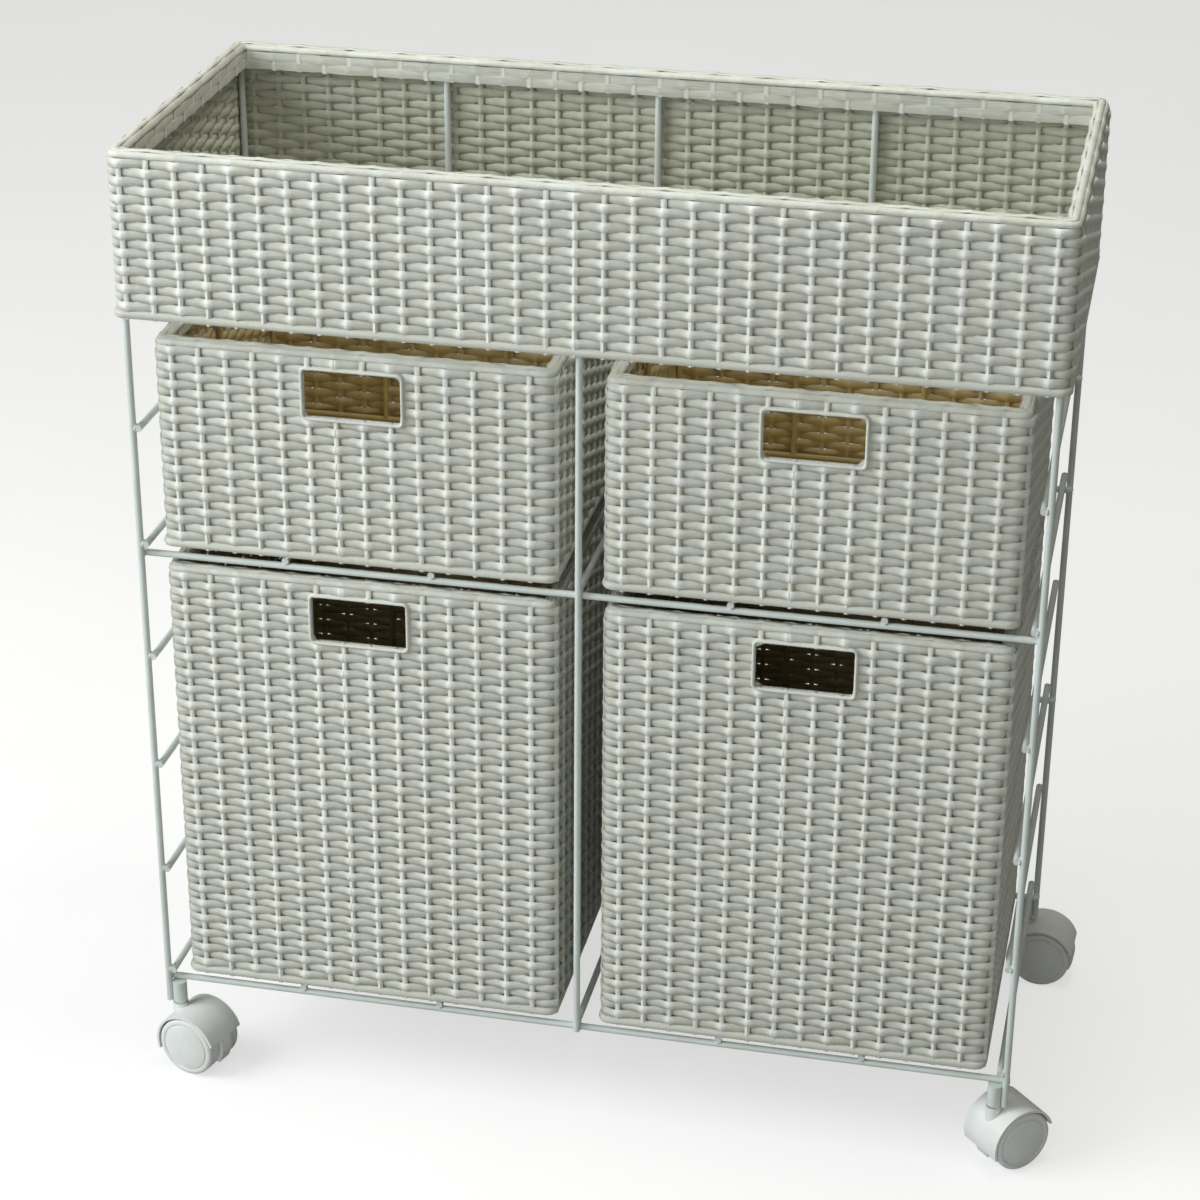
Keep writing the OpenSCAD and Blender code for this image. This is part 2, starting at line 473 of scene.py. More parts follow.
class Graph:
    """A node tree that is being wired."""

    def __init__(self, tree: bpy.types.NodeTree) -> None:
        """Hold the tree."""
        self.tree = tree

    def add(self, kind: str, **settings: object) -> bpy.types.Node:
        """Add a node.

        Args:
            kind: The node's type.
            **settings: Its properties, by name.

        Returns:
            The node.
        """
        node = self.tree.nodes.new(kind)
        for key, value in settings.items():
            setattr(node, key, value)
        return node

    def wire(self, source: Socket, target: Socket) -> None:
        """Link one socket to another."""
        self.tree.links.new(source, target)

    def place(self) -> Socket:
        """The place on the piece itself."""
        return self.add("ShaderNodeTexCoord").outputs["Object"]

    def attribute(self, name: str) -> Socket:
        """A mark that is stored at the mesh's points."""
        return self.add("ShaderNodeAttribute", attribute_name=name).outputs["Fac"]

    def times(self, first: object, second: object) -> Socket:
        """Multiply two numbers, each a socket or a plain number."""
        return self._maths("MULTIPLY", first, second)

    def plus(self, first: object, second: object) -> Socket:
        """Add two numbers, each a socket or a plain number."""
        return self._maths("ADD", first, second)

    def scaled(self, vector: Socket, factors: object) -> Socket:
        """Stretch a place.

        Args:
            vector: The place.
            factors: A socket, or three plain numbers.

        Returns:
            The stretched place.
        """
        node = self.add("ShaderNodeVectorMath", operation="MULTIPLY")
        self.wire(vector, node.inputs[0])
        self._feed(factors, node.inputs[1])
        return node.outputs[0]

    def noise(self, vector: Socket, scale: float, detail: float) -> Socket:
        """Lay a cloud noise over a place.

        Args:
            vector: The place.
            scale: The noise's scale.
            detail: Its detail.

        Returns:
            The noise.
        """
        node = self.add("ShaderNodeTexNoise")
        node.inputs["Scale"].default_value = scale
        node.inputs["Detail"].default_value = detail
        self.wire(vector, node.inputs["Vector"])
        return node.outputs["Fac"]

    def spread(self, value: Socket, low: float, high: float) -> Socket:
        """Stretch the part of a value between two levels to 0 to 1.

        Args:
            value: The value.
            low: The level that becomes 0.
            high: The level that becomes 1.

        Returns:
            The stretched value.
        """
        node = self.add("ShaderNodeMapRange", interpolation_type="SMOOTHSTEP")
        node.inputs["From Min"].default_value = low
        node.inputs["From Max"].default_value = high
        self.wire(value, node.inputs["Value"])
        return node.outputs["Result"]

    def cloud(self, vector: Socket, cloud: Cloud) -> Socket:
        """Lay a stretched cloud noise over a place."""
        return self.spread(self.noise(vector, cloud.scale, cloud.detail), cloud.low, cloud.high)

    def blend(self, share: object, first: object, second: object) -> Socket:
        """Mix two colours.

        Args:
            share: How much of the second colour there is: a socket or a plain number.
            first: The first colour: a socket or a plain colour.
            second: The second colour.

        Returns:
            The mixed colour.
        """
        node = self.add("ShaderNodeMix", data_type="RGBA")
        for value, socket in ((share, node.inputs[0]), (first, node.inputs[6]), (second, node.inputs[7])):
            self._feed(value, socket)
        return node.outputs[2]

    def bump(self, height: Socket, distance: float, strength: float, shader: bpy.types.Node) -> None:
        """Raise a shader's surface.

        Args:
            height: The height, from 0 to 1.
            distance: How high 1 stands.
            strength: How strongly it shows.
            shader: The shader.
        """
        node = self.add("ShaderNodeBump")
        node.inputs["Distance"].default_value = distance
        node.inputs["Strength"].default_value = strength
        self.wire(height, node.inputs["Height"])
        self.wire(node.outputs[0], shader.inputs["Normal"])

    def _maths(self, operation: str, first: object, second: object) -> Socket:
        """Work out one number from two.

        Args:
            operation: The sum's name in the node.
            first: The first number: a socket or a plain number.
            second: The second number.

        Returns:
            The result.
        """
        node = self.add("ShaderNodeMath", operation=operation)
        for index, value in enumerate((first, second)):
            self._feed(value, node.inputs[index])
        return node.outputs[0]

    def _feed(self, value: object, socket: Socket) -> None:
        """Link a socket, or set a plain value.

        Args:
            value: A socket, a plain number, a place or a colour.
            socket: The socket that takes it.
        """
        if isinstance(value, Socket):
            self.wire(value, socket)
        elif isinstance(value, tuple) and len(socket.default_value) == 4:
            socket.default_value = (*value, 1.0)
        else:
            socket.default_value = value


def new_group(
    name: str, inputs: dict[str, str], outputs: dict[str, str],
) -> tuple[bpy.types.NodeTree, Graph]:
    """Start a shader node group.

    Args:
        name: The group's name.
        inputs: The socket type of each input.
        outputs: The socket type of each output.

    Returns:
        The group and its graph.
    """
    tree = bpy.data.node_groups.new(name, "ShaderNodeTree")
    for socket, kind in inputs.items():
        tree.interface.new_socket(socket, in_out="INPUT", socket_type=kind)
    for socket, kind in outputs.items():
        tree.interface.new_socket(socket, in_out="OUTPUT", socket_type=kind)
    return tree, Graph(tree)


def new_material(name: str) -> tuple[bpy.types.Material, Graph, bpy.types.Node]:
    """Start a material.

    Args:
        name: The material's name.

    Returns:
        The material, its graph and its shader.
    """
    material = bpy.data.materials.new(name)
    material.use_nodes = True
    return material, Graph(material.node_tree), material.node_tree.nodes["Principled BSDF"]


class Effects:
    """The node groups that several finishes share."""

    streak = Cloud(1.0, 3, 0.3, 0.7)
    tone = Cloud(1.0, 2, 0.3, 0.7)
    tint = Cloud(55, 2, 0.35, 0.65)
    dust = Cloud(60, 4, 0.35, 0.75)
    grime = Cloud(14, 5, 0.45, 0.8)
    # how far up a face has to look before dust lies on it, and where it lies in full
    upward = (0.3, 1.0)

    def __init__(self) -> None:
        """Build each group once."""
        self.fibre = self._fibre()
        self.soiling = self._soiling()

    def _fibre(self) -> bpy.types.NodeTree:
        """Make streaks that run along a cord, a slower change of tone and a patchy warm tint.

        Returns:
            The node group.
        """
        tree, graph = new_group(
            "fibre",
            {"Stretch": "NodeSocketVector", "Tone stretch": "NodeSocketVector"},
            {"Streak": "NodeSocketFloat", "Tone": "NodeSocketFloat", "Tint": "NodeSocketFloat"},
        )
        given = graph.add("NodeGroupInput")
        out = graph.add("NodeGroupOutput")
        place = graph.place()
        along = graph.scaled(place, given.outputs["Stretch"])
        slower = graph.scaled(place, given.outputs["Tone stretch"])
        graph.wire(graph.cloud(along, self.streak), out.inputs["Streak"])
        graph.wire(graph.cloud(slower, self.tone), out.inputs["Tone"])
        graph.wire(graph.cloud(place, self.tint), out.inputs["Tint"])
        return tree

    def _soiling(self) -> bpy.types.NodeTree:
        """Make a thin dust that lies on faces that look up, and a faint handling grime in patches.

        Returns:
            The node group.
        """
        tree, graph = new_group("soiling", {}, {"Dust": "NodeSocketFloat", "Grime": "NodeSocketFloat"})
        out = graph.add("NodeGroupOutput")
        place = graph.place()
        parts = graph.add("ShaderNodeSeparateXYZ")
        graph.wire(graph.add("ShaderNodeNewGeometry").outputs["Normal"], parts.inputs[0])
        lies = graph.spread(parts.outputs["Z"], *self.upward)
        graph.wire(graph.times(lies, graph.cloud(place, self.dust)), out.inputs["Dust"])
        graph.wire(graph.cloud(place, self.grime), out.inputs["Grime"])
        return tree


class Run(Enum):
    """Which way a cord's fibres run, as the stretch of its streaks and of its tone."""

    LEVEL = ((45.0, 45.0, 1700.0), (9.0, 9.0, 170.0))
    UPRIGHT = ((1700.0, 1700.0, 45.0), (60.0, 60.0, 6.0))
    EDGING = ((900.0, 250.0, 900.0), (30.0, 30.0, 30.0))


@dataclass(frozen=True)
class CordFinish:
    """Bleached paper cord, with a painted highlight where it stands out and painted shade on its inside
    faces.
    """

    name: str
    run: Run
    # painted shade: the darker colour of the inside faces, and how much of it shows
    inner_shade_colour: Colour
    inner_shade_share: float
    light: Colour = (0.66, 0.68, 0.63)
    dark: Colour = (0.54, 0.555, 0.505)
    warm: Colour = (0.62, 0.58, 0.48)
    # painted highlight: the colour that the crests of the weave take where they stand out
    painted_crest_highlight: Colour = (0.86, 0.885, 0.85)
    tint: float = 0.4
    streaks: float = 0.16
    grime: float = 0.2
    crest_highlight_share: float = 0.75
    crest_levels: tuple[float, float] = (0.45, 1.1)
    back_levels: tuple[float, float] = (0.55, 0.95)
    roughness: float = 0.48
    streak_roughness: float = 0.18
    sheen: float = 0.12
    fibre_height: float = 0.22 * MM
    fibre_strength: float = 0.7

    def make(self, effects: Effects) -> bpy.types.Material:
        """Build the material.

        Args:
            effects: The shared node groups.

        Returns:
            The material.
        """
        material, graph, shader = new_material(self.name)
        fibre = graph.add("ShaderNodeGroup", node_tree=effects.fibre)
        fibre.inputs["Stretch"].default_value, fibre.inputs["Tone stretch"].default_value = self.run.value
        soil = graph.add("ShaderNodeGroup", node_tree=effects.soiling)
        colour = graph.blend(fibre.outputs["Tone"], self.dark, self.light)
        colour = graph.blend(graph.times(fibre.outputs["Tint"], self.tint), colour, self.warm)
        colour = graph.blend(graph.times(fibre.outputs["Streak"], self.streaks), colour, self.dark)
        colour = graph.blend(graph.times(soil.outputs["Grime"], self.grime), colour, self.warm)
        # painted highlight: the cord is brighter where it stands out, as if the light caught its crests
        crest_highlight_mask = graph.spread(graph.attribute("lift"), *self.crest_levels)
        colour = graph.blend(graph.times(crest_highlight_mask, self.crest_highlight_share), colour, self.painted_crest_highlight)
        # painted shade: the inside faces take the darker inner colour, as if in the shade of the basket
        inside = graph.spread(graph.attribute("back"), *self.back_levels)
        colour = graph.blend(graph.times(inside, self.inner_shade_share), colour, self.inner_shade_colour)
        graph.wire(colour, shader.inputs["Base Color"])
        rough = graph.plus(graph.times(fibre.outputs["Streak"], self.streak_roughness), self.roughness)
        graph.wire(rough, shader.inputs["Roughness"])
        shader.inputs["Sheen Weight"].default_value = self.sheen
        graph.bump(fibre.outputs["Streak"], self.fibre_height, self.fibre_strength, shader)
        return material


@dataclass(frozen=True)
class CoatFinish:
    """A hard smooth surface, such as powder coat on wire or moulded plastic."""

    name: str
    colour: Colour
    dusty: Colour
    roughness: float
    metallic: float = 0.0
    mottle: Cloud = Cloud(35, 3, 0.3, 0.7)
    mottled: float = 0.35
    dust: float = 0.25
    grime: float = 0.35
    dirt_roughness: float = 0.4
    grain: float = 900.0
    grain_detail: float = 3
    grain_height: float = 0.02 * MM
    grain_strength: float = 0.6

    def make(self, effects: Effects) -> bpy.types.Material:
        """Build the material.

        Args:
            effects: The shared node groups.

        Returns:
            The material.
        """
        material, graph, shader = new_material(self.name)
        soil = graph.add("ShaderNodeGroup", node_tree=effects.soiling)
        place = graph.place()
        patches = graph.times(graph.cloud(place, self.mottle), self.mottled)
        base = graph.blend(patches, self.colour, self.dusty)
        dust = graph.times(soil.outputs["Dust"], self.dust)
        dirt = graph.plus(dust, graph.times(soil.outputs["Grime"], self.grime))
        graph.wire(graph.blend(dirt, base, self.dusty), shader.inputs["Base Color"])
        rough = graph.plus(graph.times(dirt, self.dirt_roughness), self.roughness)
        graph.wire(rough, shader.inputs["Roughness"])
        shader.inputs["Metallic"].default_value = self.metallic
        grain = graph.noise(place, self.grain, self.grain_detail)
        graph.bump(grain, self.grain_height, self.grain_strength, shader)
        return material


@dataclass(frozen=True)
class CordSet:
    """The finishes of one basket's cords."""

    rows: bpy.types.Material
    stakes: bpy.types.Material


class Finishes:
    """Every material of the cart, made once."""

    # unbleached kraft brown: the paper wrap of the drawers' wires, and painted shade on the drawers' inside
    # faces
    kraft_and_inner_shade = (0.60, 0.48, 0.235)
    # painted shade on the tray's inside faces: darker and more olive than the outside
    tray_inner_shade = (0.50, 0.515, 0.41)

    def __init__(self) -> None:
        """Make the shared effects and then each material."""
        effects = Effects()
        self.tray = self.cords("tray", self.tray_inner_shade, 0.8, effects)
        self.drawer = self.cords("drawer", self.kraft_and_inner_shade, 0.9, effects)
        self.edging = CordFinish("edging_cord", Run.EDGING, self.kraft_and_inner_shade, 0.0, light=(0.70, 0.725, 0.68),
                                 dark=(0.58, 0.60, 0.55), painted_crest_highlight=(0.80, 0.83, 0.80)).make(effects)
        self.wire = CoatFinish("powder_coat", (0.66, 0.72, 0.71), (0.50, 0.53, 0.48), 0.30).make(effects)
        self.plastic = CoatFinish("white_nylon", (0.83, 0.85, 0.86), (0.68, 0.68, 0.64), 0.30, grain=1500.0,
                                  grain_height=0.012 * MM).make(effects)
        self.wheel = CoatFinish("wheel_nylon", (0.80, 0.825, 0.83), (0.60, 0.60, 0.56), 0.34, grain=1200.0,
                                grain_height=0.015 * MM).make(effects)
        self.wrapped = CoatFinish("paper_wrapped_wire", self.kraft_and_inner_shade, (0.40, 0.33, 0.17), 0.6, grain=700.0,
                                  grain_height=0.08 * MM).make(effects)
        self.steel = CoatFinish("zinc_plate", (0.62, 0.63, 0.65), (0.45, 0.45, 0.44), 0.28, metallic=1.0,
                                grain=2500.0).make(effects)

    @staticmethod
    def cords(basket: str, inner_shade_colour: Colour, inner_shade_share: float, effects: Effects) -> CordSet:
        """Make the finishes of a basket whose cords have painted shade on their inside faces.

        Args:
            basket: The basket's name.
            inner_shade_colour: The painted shade colour of the inside faces.
            inner_shade_share: How much of it shows there.
            effects: The shared node groups.

        Returns:
            The finishes of its rows and its stakes.
        """
        return CordSet(CordFinish(f"{basket}_rows_cord", Run.LEVEL, inner_shade_colour, inner_shade_share).make(effects),
                       CordFinish(f"{basket}_stakes_cord", Run.UPRIGHT, inner_shade_colour, inner_shade_share).make(effects))

    def of_node(self, name: str) -> bpy.types.Material:
        """Find the finish of a plain solid by its name.

        Args:
            name: The node's name.

        Returns:
            The material: that of the cart's wire, unless the name says otherwise.
        """
        if name.endswith(("left_wires", "right_wires")):
            return self.wrapped
        kinds = {"axle": self.steel, "stem": self.steel, "hood": self.plastic}
        return kinds.get(name.rsplit("_", 1)[-1], self.wire)

    def dress(self, nodes: dict[str, bpy.types.Object]) -> None:
        """Give every plain solid its finish.

        Args:
            nodes: The plain solids, by name.
        """
        for name, node in nodes.items():
            node.data.materials.clear()
            node.data.materials.append(self.of_node(name))
        LOG.info("%d plain solids have their finish", len(nodes))


# ---------- the weave ----------


@dataclass(frozen=True)
class RoundRectangle:
    """A level rectangle with round corners, walked from the middle of its front to the right."""

    centre: tuple[float, float]
    half_x: float
    half_y: float
    corner: float

    def legs(self) -> list[tuple[float, bool]]:
        """List the stretches in walking order.

        Returns:
            Each stretch's length, and whether it turns a corner.
        """
        long, short = 2 * (self.half_x - self.corner), 2 * (self.half_y - self.corner)
        arc = (math.pi / 2 * self.corner, True)
        return [(long / 2, False), arc, (short, False), arc, (long, False), arc, (short, False), arc,
                (long / 2, False)]

    def length(self) -> float:
        """The way all round."""
        return sum(leg for leg, _ in self.legs())

    def point(self, along: float) -> Point:
        """Find the place at a distance along the walk.

        Args:
            along: The distance from the middle of the front.

        Returns:
            The place, on the floor.
        """
        x, y, heading = self.centre[0], self.centre[1] - self.half_y, 0.0
        for leg, turns in self.legs():
            part = min(along, leg)
            if turns:
                swing = part / self.corner
                x += self.corner * (math.sin(heading + swing) - math.sin(heading))
                y -= self.corner * (math.cos(heading + swing) - math.cos(heading))
                heading += swing
            else:
                x += part * math.cos(heading)
                y += part * math.sin(heading)
            along -= part
            if along <= 0:
                break
        return (x, y, 0.0)

    def guide(self, count: int) -> bpy.types.Object:
        """Make the closed curve that rows and stakes are bent round.

        Args:
            count: How many evenly spaced points it has.

        Returns:
            The curve, which the caller removes again.
        """
        curve = bpy.data.curves.new("guide", "CURVE")
        curve.dimensions = "2D"
        spline = curve.splines.new("POLY")
        spline.points.add(count - 1)
        for index, point in enumerate(spline.points):
            point.co = (*self.point(index * self.length() / count), 1.0)
        spline.use_cyclic_u = True
        guide = bpy.data.objects.new("guide", curve)
        bpy.context.scene.collection.objects.link(guide)
        return guide


@dataclass(frozen=True)
class Gauge:
    """The cords of the weave, and how they pass round each other."""

    row: float = 6.6 * MM
    cord_wide: float = 7.8 * MM
    cord_thick: float = 1.6 * MM
    swing: float = 2.0 * MM
    slope: float = 0.34
    knuckle: int = 11
    stake_wide: float = 4.6 * MM
    stake_thick: float = 4.6 * MM
    turned_in: float = 0.4
    steps: int = 8
    crowding: float = 0.5
    sides: int = 6

    def ring_at(self, ring: int) -> float:
        """Where a ring of the cord stands, in stake pitches: rings crowd together at the stakes."""
        along = ring / self.steps
        return along - self.crowding * math.sin(2 * math.pi * along) / (2 * math.pi)

    def bow_at(self, along: float) -> float:
        """How far a cord is bowed out, from 1 where it passes in front of a stake to -1 behind the next one.

        Args:
            along: The distance from the stake in front of which the cord passes, in stake pitches.

        Returns:
            The bow: a straight slope between the stakes, and a narrow knuckle round each stake.
        """
        wave = math.cos(math.pi * along)
        return self.slope * wave + (1 - self.slope) * wave ** self.knuckle


@dataclass(frozen=True)
class Weave:
    """Rows of cord woven in and out of stakes."""

    gauge: Gauge
    pitch: float
    # rings that are already bowed are set this far aside, so that they aren't picked again
    aside: float = 1.0

    def unit(self, name: str, stake_at: float, sign: int, swing: float, wide: float) -> Piece:
        """Make two cells of one row: it bows out at one stake and in at the next.

        Args:
            name: The piece's name.
            stake_at: Where the first stake stands, as a share of the stake pitch.
            sign: 1 if the row goes in front of the first stake, -1 if behind it.
            swing: How far it bows each way.
            wide: The cord's width.

        Returns:
            The unit, along +X from the origin, with +Y outwards and a "lift" mark for how far it stands out.
        """
        gauge = self.gauge
        rings = 2 * gauge.steps
        piece = Piece.strand(name, 2 * self.pitch, wide, gauge.cord_thick, gauge.sides, rings - 1)
        for ring in range(rings + 1):
            x = ring * self.pitch / gauge.steps
            along = gauge.ring_at(ring)
            piece.edit(Select.POINTS, lambda co, x=x: abs(co.x - x) < CLOSE and abs(co.y) < gauge.cord_thick)
            bow = sign * swing * gauge.bow_at(along)
            bpy.ops.transform.translate(value=(along * self.pitch - x, bow + self.aside, 0))
            piece.close()
        piece.place(move=(stake_at * self.pitch, -self.aside, 0))
        return piece.mark("lift", lambda co: co.y / gauge.swing)

    def row(self, name: str, stake_at: float, sign: int, swing: float, wide: float, units: int) -> Piece:
        """Make one whole row.

        Args:
            name: The piece's name.
            stake_at: Where the first stake stands, as a share of the stake pitch.
            sign: 1 if the row goes in front of the first stake, -1 if behind it.
            swing: How far it bows each way.
            wide: The cord's width.
            units: How many units of two cells it has.

        Returns:
            The row, along +X from the origin, with +Y outwards.
        """
        unit = self.unit(name, stake_at, sign, swing, wide)
        return unit.repeat((2 * self.pitch, 0, 0), units, joined=True)

    def stake(self, name: str, foot: float, top: float) -> Piece:
        """Make one straight upright stake at X 0, flat in Y, with open ends.

        Args:
            name: The piece's name.
            foot: The height of its foot.
            top: The height of its top.

        Returns:
            The stake.
        """
        gauge = self.gauge
        piece = Piece.strand(name, top - foot, gauge.stake_wide, gauge.stake_thick, gauge.sides, 0)
        piece.mark("lift", lambda co: 2 * co.y / gauge.stake_thick)
        return piece.place(turn=(0, -90, 0)).place(move=(0, 0, foot))


@dataclass(frozen=True)
class WrappedEdge:
    """An edging of close turns of cord round a core, each turn a little fatter in its middle."""

    wide: float
    thick: float
    wrap: float = 3.3 * MM
    bulge: float = 1.08
    # how far the edging counts as standing out, which sets how much painted highlight it gets
    highlight_lift: float = 0.8
    sides: int = 8

    def make(self, name: str, lay: RoundRectangle) -> Piece:
        """Lay the edging along a round rectangle, on the floor.

        Args:
            name: The piece's name.
            lay: The rectangle that its middle follows.

        Returns:
            The edging, wide in Z.
        """
        wraps = round(lay.length() / self.wrap)
        step = lay.length() / wraps
        piece = Piece.strand(name, step, self.wide, self.thick, self.sides, 1)
        piece.edit(Select.POINTS, lambda co: abs(co.x - step / 2) < CLOSE)
        bpy.ops.transform.resize(value=(1, self.bulge, self.bulge), center_override=(0, 0, 0))
        piece.close().mark("lift", lambda co: self.highlight_lift)
        piece.repeat((step, 0, 0), wraps, joined=True)
        guide = lay.guide(wraps * 2)
        piece.bend_round(guide)
        bpy.data.objects.remove(guide)
        return piece.smooth()


@dataclass(frozen=True)
class HandHole:
    """The hand hole in a drawer's front, bound with a wrapped cord."""

    width: float = 70 * MM
    height: float = 35 * MM
    below_crown: float = 15 * MM
    near: float = 14 * MM
    corner: float = 3 * MM
    edge: WrappedEdge = WrappedEdge(6.8 * MM, 2.8 * MM)

    def middle(self, place: Point) -> Point:
        """The middle of the hole, from the wall's middle surface at the crown."""
        return (place[0], place[1], place[2] - self.below_crown - self.height / 2)

    def cut(self, piece: Piece, place: Point) -> Piece:
        """Cut the hole through a woven piece and close the ends of its cords.

        Long faces have their middle far from the hole, so the cuts are made over the wall's whole height.

        Args:
            piece: The piece.
            place: The middle of the drawer's front, on the wall's middle surface at the crown.

        Returns:
            The piece itself.
        """
        middle, half = Vector(self.middle(place)), Vector((self.width / 2, self.near, self.height / 2))
        low, high = middle - half, middle + half
        around = Vector((self.near, 0, place[2]))
        for corner in (low, high):
            for normal in ((1, 0, 0), (0, 0, 1)):
                piece.edit_box(low - around, high + around)
                bpy.ops.mesh.bisect(plane_co=corner, plane_no=normal)
                piece.close()
        piece.edit_box(low, high)
        bpy.ops.mesh.delete(type="FACE")
        return piece.close().cap()

    def binding(self, name: str, place: Point) -> Piece:
        """Make the wrapped cord that goes round the hole.

        Args:
            name: The piece's name.
            place: The middle of the drawer's front, on the wall's middle surface at the crown.

        Returns:
            The binding.
        """
        out = self.edge.thick / 2
        lay = RoundRectangle((0, 0), self.width / 2 + out, self.height / 2 + out, self.corner)
        return self.edge.make(name, lay).place(turn=(90, 0, 0)).place(move=self.middle(place))


@dataclass(frozen=True)
class WovenFloor:
    """The flat woven floor of a drawer, turned so that its side with the painted inner shade faces up."""

    drawer: Drawer
    pitch: float = 20 * MM
    gauge: Gauge = Gauge(cord_wide=8.4 * MM, swing=1.3 * MM, stake_thick=2.8 * MM, steps=4)
    sway: Sway = Sway(Way.Y, 0.7 * MM, 30 * MM)

    def build(self, finishes: Finishes) -> None:
        """Make the floor's rows and its stakes, in the place of the plain floor.

        Args:
            finishes: The cart's materials.
        """
        name = f"{self.drawer.value}_floor_weave"
        body, node = f"{self.drawer.value}_drawer", f"{self.drawer.value}_floor"
        low, high = (Vector(corner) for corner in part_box(node))
        weave = Weave(self.gauge, self.pitch)
        rows = self.rows(weave, f"{name}_rows", high - low)
        rows.place(turn=(-90, 0, 0)).place(move=tuple((low + high) / 2))
        rows.wander(self.sway).smooth(CUT_END).fit(body, Slot.DRAWER, finishes.drawer.rows, node)
        stakes = self.stakes(weave, f"{name}_stakes", high - low)
        stakes.place(turn=(-90, 0, 0)).place(move=tuple((low + high) / 2)).smooth(CUT_END)
        stakes.fit(body, Slot.DRAWER, finishes.drawer.stakes, node)

    def units(self, size: Vector) -> int:
        """How many units of two cells cover the floor's width, with one to spare."""
        return math.ceil(size.x / (2 * self.pitch)) + 1

    def rows(self, weave: Weave, name: str, size: Vector) -> Piece:
        """Make the rows as an upright wall round the origin.

        Args:
            weave: The weave.
            name: The piece's name.
            size: The floor's size.

        Returns:
            The rows.
        """
        count = int(size.y / self.gauge.row)
        units = self.units(size)
        made = []
        for index, sign in enumerate((1, -1)):
            row = weave.row(name, 0, sign, self.gauge.swing, self.gauge.cord_wide, units)
            row.place(move=(-units * self.pitch, 0, (index + 0.5 - count / 2) * self.gauge.row))
            self.trimmed(row, size).repeat((0, 0, 2 * self.gauge.row), (count + 1 - index) // 2)
            made.append(row)
        return made[0].join(made[1:])

    def stakes(self, weave: Weave, name: str, size: Vector) -> Piece:
        """Make the stakes as an upright wall round the origin.

        Args:
            weave: The weave.
            name: The piece's name.
            size: The floor's size.

        Returns:
            The stakes.
        """
        spare = self.units(size) // 2 * 2
        stakes = weave.stake(name, -size.y / 2, size.y / 2).cap()
        stakes.place(move=(-spare / 2 * self.pitch, 0, 0)).repeat((self.pitch, 0, 0), spare + 1)
        return self.trimmed(stakes, size)

    @staticmethod
    def trimmed(piece: Piece, size: Vector) -> Piece:
        """Cut a piece off at both sides of the floor."""
        for side in (-1, 1):
            piece.trim((side * size.x / 2, 0, 0), (side, 0, 0))
        return piece


